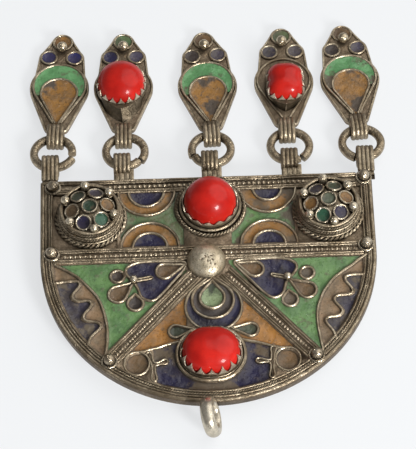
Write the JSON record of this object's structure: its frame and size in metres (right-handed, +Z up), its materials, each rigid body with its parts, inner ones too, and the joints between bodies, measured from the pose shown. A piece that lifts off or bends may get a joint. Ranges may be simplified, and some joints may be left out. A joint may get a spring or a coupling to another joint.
{
  "type": "fibula brooch",
  "caption": "Half-round silver fibula plate with enamelled cells, filigree domes and coral cabochons, hung with leaf-shaped drops on jump rings.",
  "frame": {"origin": "centre of the whole outline on the surface that the brooch lies on", "axes": "+Z up out of the enamelled front, +Y from the thick loop towards the drops, +X to the right seen from the front"},
  "size_m": [0.0654, 0.0872, 0.0102],
  "materials": {
    "silver": "aged silver alloy, bright on the raised wires and dark in the recesses",
    "pin_metal": "plain dull pin metal",
    "ring_wire": "worn round wire, filed by hand",
    "coral": "polished red coral",
    "enamel_green": "glossy opaque enamel with pits",
    "enamel_blue": "glossy opaque enamel with pits",
    "enamel_orange": "glossy opaque enamel with pits",
    "enamel_brown": "glossy opaque enamel with pits"
  },
  "bodies": {
    "root": {"plate": "silver", "back_pin": "pin_metal", "jump_ring_1": "ring_wire", "jump_ring_2": "ring_wire", "jump_ring_3": "ring_wire", "jump_ring_4": "ring_wire", "jump_ring_5": "ring_wire", "drop_1": "silver", "drop_2": "silver", "drop_3": "silver", "drop_4": "silver", "drop_5": "silver", "coral_upper": "coral", "coral_lower": "coral", "coral_drop_2": "coral", "coral_drop_4": "coral", "orange_moons_left": "enamel_orange", "orange_moons_right": "enamel_orange", "blue_moons_left": "enamel_blue", "blue_moons_right": "enamel_blue", "green_upper_left": "enamel_green", "green_upper_right": "enamel_green", "green_flower_left": "enamel_green", "green_flower_right": "enamel_green", "blue_flower_left": "enamel_blue", "blue_flower_right": "enamel_blue", "brown_petal_left": "enamel_brown", "brown_petal_right": "enamel_brown", "orange_tear_left": "enamel_orange", "orange_tear_right": "enamel_orange", "dark_loops_left": "enamel_brown", "dark_loops_right": "enamel_brown", "blue_lens_left": "enamel_blue", "blue_lens_right": "enamel_blue", "orange_lens_left": "enamel_orange", "orange_lens_right": "enamel_orange", "nest_green": "enamel_green", "nest_brown": "enamel_brown", "nest_blue": "enamel_blue", "orange_lower_left": "enamel_orange", "orange_lower_right": "enamel_orange", "green_petal_left": "enamel_green", "green_petal_right": "enamel_green", "blue_lower": "enamel_blue", "brown_loop_left": "enamel_brown", "brown_loop_right": "enamel_brown", "dome_cells_left": "enamel_green", "dome_cells_right": "enamel_green", "head_cells_1": "enamel_blue", "head_cells_2": "enamel_blue", "head_cells_3": "enamel_blue", "head_cells_4": "enamel_blue", "head_cells_5": "enamel_blue", "crescent_1": "enamel_green", "crescent_3": "enamel_green", "crescent_5": "enamel_green", "tear_1": "enamel_orange", "tear_3": "enamel_orange", "tear_5": "enamel_orange"}
  },
  "joints": []
}
